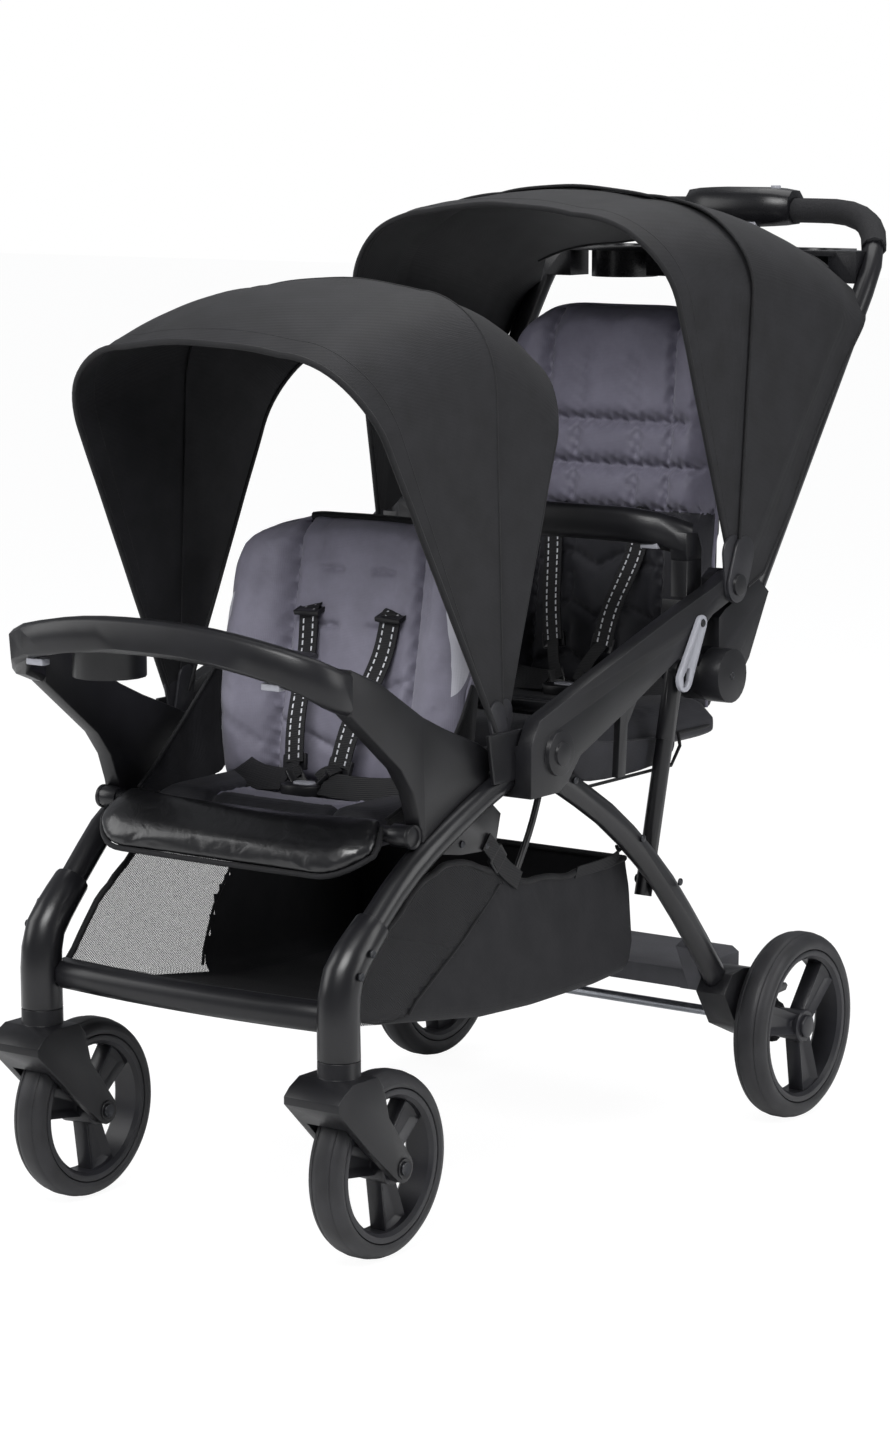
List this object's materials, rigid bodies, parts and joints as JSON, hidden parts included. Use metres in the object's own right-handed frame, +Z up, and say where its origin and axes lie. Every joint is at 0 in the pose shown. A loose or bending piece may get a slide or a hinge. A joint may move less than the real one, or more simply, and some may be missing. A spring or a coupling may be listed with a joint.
{
  "type": "sit and stand stroller",
  "caption": "Folding sit and stand stroller: front seat with canopy and child tray, rear seat with canopy, rear standing platform, basket, parent tray and caster wheels.",
  "frame": {"origin": "on the ground, under the middle of the length, in the mid plane", "axes": "+Z up, +Y towards the handle (rear), +X to the left of the person sitting in it"},
  "size_m": [0.5524, 1.1692, 1.0613],
  "materials": {
    "tyre": "matt moulded tread",
    "wheel_plastic": "satin dark grey",
    "frame_paint": "satin near-black",
    "moulding": "fine-grained near-black",
    "light_plastic": "satin light grey",
    "axle_steel": "bright drawn rod",
    "tread_plastic": "matt grey ribbed tread",
    "handle_foam": "closed-cell foam",
    "seat_cloth": "purple-grey woven, padded",
    "rear_seat_cloth": "slate-grey woven, padded",
    "coated_cloth": "black coated, slightly glossy",
    "canopy_cloth": "black plain weave",
    "basket_cloth": "black cloth and mesh"
  },
  "bodies": {
    "frame": {"front_leg_left": "frame_paint", "front_leg_right": "frame_paint", "caster_housing_left": "frame_paint", "caster_housing_right": "frame_paint", "front_crossbar": "moulding", "side_rail_left": "moulding", "side_rail_right": "moulding", "front_tray_arm_left": "moulding", "front_tray_arm_right": "moulding", "calf_rest_tube": "frame_paint", "gusset_frame": "frame_paint", "front_seat_pan": "seat_cloth", "rear_seat_pan": "rear_seat_cloth", "front_buckle": "moulding", "rear_buckle": "moulding", "front_canopy_hood": "canopy_cloth", "basket": "basket_cloth"},
    "handle": {"fold_hinge_left": "moulding", "fold_hinge_right": "moulding", "handle_tube": "frame_paint", "handle_grip": "handle_foam", "handle_console": "moulding", "parent_tray": "moulding", "rear_canopy_hood": "canopy_cloth"},
    "rear_legs": {"rear_leg_left": "frame_paint", "rear_leg_right": "frame_paint", "rear_axle_bracket_left": "moulding", "rear_axle_bracket_right": "moulding", "rear_axle": "axle_steel", "standing_platform": "tread_plastic"},
    "struts": {"strut_left": "frame_paint", "strut_right": "frame_paint"},
    "trigger": {"fold_trigger": "light_plastic"},
    "handle_lock": {"lock_button": "light_plastic"},
    "rear_visor": {"rear_canopy_visor": "canopy_cloth"},
    "front_visor": {"front_canopy_visor": "canopy_cloth"},
    "child_tray": {"front_tray": "moulding"},
    "child_bar": {"rear_bar": "moulding"},
    "bar_clip": {"rear_bar_clip": "light_plastic"},
    "front_back": {"front_seat_back": "seat_cloth"},
    "rear_back": {"rear_seat_back": "rear_seat_cloth"},
    "calf": {"calf_rest": "coated_cloth"},
    "front_button": {"front_buckle_button": "light_plastic"},
    "rear_button": {"rear_buckle_button": "light_plastic"},
    "caster_left": {"caster_fork_left": "moulding"},
    "front_wheel_left": {"front_tyre_left": "tyre", "front_rim_left": "wheel_plastic"},
    "rear_wheel_left": {"rear_tyre_left": "tyre", "rear_rim_left": "wheel_plastic"},
    "brake_left": {"brake_pedal_left": "moulding"},
    "tray_clip_left": {"front_tray_clip_left": "light_plastic"},
    "release_lever_left": {"seat_release_lever_left": "light_plastic"},
    "caster_right": {"caster_fork_right": "moulding"},
    "front_wheel_right": {"front_tyre_right": "tyre", "front_rim_right": "wheel_plastic"},
    "rear_wheel_right": {"rear_tyre_right": "tyre", "rear_rim_right": "wheel_plastic"},
    "brake_right": {"brake_pedal_right": "moulding"},
    "tray_clip_right": {"front_tray_clip_right": "light_plastic"},
    "release_lever_right": {"seat_release_lever_right": "light_plastic"}
  },
  "joints": [
    {"name": "frame_fold", "type": "hinge", "parent": "frame", "child": "handle", "pos_m": [0, 0.14955, 0.627], "axis": [1, 0, 0], "range_deg": [0, 138], "deforming": ["front_canopy_hood", "front_canopy_visor", "rear_canopy_hood", "rear_canopy_visor"]},
    {"name": "rear_leg_fold", "type": "hinge", "parent": "frame", "child": "rear_legs", "pos_m": [0, -0.19645, 0.485], "axis": [1, 0, 0], "range_deg": [0, 34.3]},
    {"name": "strut_swing", "type": "hinge", "parent": "rear_legs", "child": "struts", "pos_m": [0, 0.05655, 0.304], "axis": [1, 0, 0], "range_deg": [-52.8, 0]},
    {"name": "caster_swivel_left", "type": "hinge", "parent": "frame", "child": "caster_left", "pos_m": [0.195, -0.51545, 0.2], "axis": [0, 0, 1], "continuous": true},
    {"name": "front_wheel_spin_left", "type": "hinge", "parent": "caster_left", "child": "front_wheel_left", "pos_m": [0.195, -0.45245, 0.0965], "axis": [1, 0, 0], "continuous": true},
    {"name": "rear_wheel_spin_left", "type": "hinge", "parent": "rear_legs", "child": "rear_wheel_left", "pos_m": [0.2544, 0.26855, 0.1075], "axis": [1, 0, 0], "continuous": true},
    {"name": "brake_press_left", "type": "hinge", "parent": "rear_legs", "child": "brake_left", "pos_m": [0.186, 0.26855, 0.1075], "axis": [1, 0, 0], "range_deg": [-18, 0]},
    {"name": "tray_clip_press_left", "type": "slide", "parent": "child_tray", "child": "tray_clip_left", "axis": [0, 0, 1], "range_m": [0, 0.003], "stiffness_N_per_m": 600},
    {"name": "seat_release_left", "type": "hinge", "parent": "frame", "child": "release_lever_left", "pos_m": [0.243, 0.07755, 0.592], "axis": [1, 0, 0], "range_deg": [-30, 0]},
    {"name": "caster_swivel_right", "type": "hinge", "parent": "frame", "child": "caster_right", "pos_m": [-0.195, -0.51545, 0.2], "axis": [0, 0, 1], "continuous": true},
    {"name": "front_wheel_spin_right", "type": "hinge", "parent": "caster_right", "child": "front_wheel_right", "pos_m": [-0.195, -0.45245, 0.0965], "axis": [1, 0, 0], "continuous": true},
    {"name": "rear_wheel_spin_right", "type": "hinge", "parent": "rear_legs", "child": "rear_wheel_right", "pos_m": [-0.2544, 0.26855, 0.1075], "axis": [1, 0, 0], "continuous": true},
    {"name": "brake_press_right", "type": "hinge", "parent": "rear_legs", "child": "brake_right", "pos_m": [-0.186, 0.26855, 0.1075], "axis": [1, 0, 0], "range_deg": [-18, 0]},
    {"name": "tray_clip_press_right", "type": "slide", "parent": "child_tray", "child": "tray_clip_right", "axis": [0, 0, 1], "range_m": [0, 0.003], "stiffness_N_per_m": 600},
    {"name": "seat_release_right", "type": "hinge", "parent": "frame", "child": "release_lever_right", "pos_m": [-0.243, 0.07755, 0.592], "axis": [1, 0, 0], "range_deg": [-30, 0]},
    {"name": "trigger_squeeze", "type": "slide", "parent": "handle", "child": "trigger", "axis": [0, 0, 1], "range_m": [0, 0.006], "stiffness_N_per_m": 500},
    {"name": "lock_press", "type": "slide", "parent": "handle", "child": "handle_lock", "axis": [0, 0, 1], "range_m": [-0.003, 0], "stiffness_N_per_m": 600},
    {"name": "rear_visor_swing", "type": "hinge", "parent": "handle", "child": "rear_visor", "pos_m": [0, 0.14955, 0.627], "axis": [1, 0, 0], "range_deg": [-28, 0]},
    {"name": "front_visor_swing", "type": "hinge", "parent": "frame", "child": "front_visor", "pos_m": [0, -0.26245, 0.49], "axis": [1, 0, 0], "range_deg": [-46, 0]},
    {"name": "front_tray_swing", "type": "hinge", "parent": "frame", "child": "child_tray", "pos_m": [-0.209, -0.51045, 0.6], "axis": [0, 0, 1], "range_deg": [-75, 0]},
    {"name": "rear_bar_swing", "type": "hinge", "parent": "frame", "child": "child_bar", "pos_m": [-0.197, 0.12055, 0.64], "axis": [0, 0, 1], "range_deg": [-28, 0]},
    {"name": "bar_clip_press", "type": "slide", "parent": "child_bar", "child": "bar_clip", "axis": [0, 0, 1], "range_m": [0, 0.003], "stiffness_N_per_m": 600},
    {"name": "front_back_recline", "type": "hinge", "parent": "frame", "child": "front_back", "pos_m": [0, -0.24045, 0.43], "axis": [1, 0, 0], "range_deg": [-20, 0]},
    {"name": "rear_back_recline", "type": "hinge", "parent": "frame", "child": "rear_back", "pos_m": [0, 0.25355, 0.456], "axis": [1, 0, 0], "range_deg": [-10, 0]},
    {"name": "calf_rest_drop", "type": "hinge", "parent": "frame", "child": "calf", "pos_m": [0, -0.40245, 0.424], "axis": [1, 0, 0], "range_deg": [0, 45]},
    {"name": "front_buckle_press", "type": "slide", "parent": "frame", "child": "front_button", "axis": [0, 0, 1], "range_m": [-0.002, 0], "stiffness_N_per_m": 600},
    {"name": "rear_buckle_press", "type": "slide", "parent": "frame", "child": "rear_button", "axis": [0, 0, 1], "range_m": [-0.002, 0], "stiffness_N_per_m": 600}
  ],
  "couplings": [
    {"joint": "rear_leg_fold", "follows": "frame_fold", "ratio": 0.2471},
    {"joint": "strut_swing", "follows": "frame_fold", "ratio": -0.3812}
  ]
}
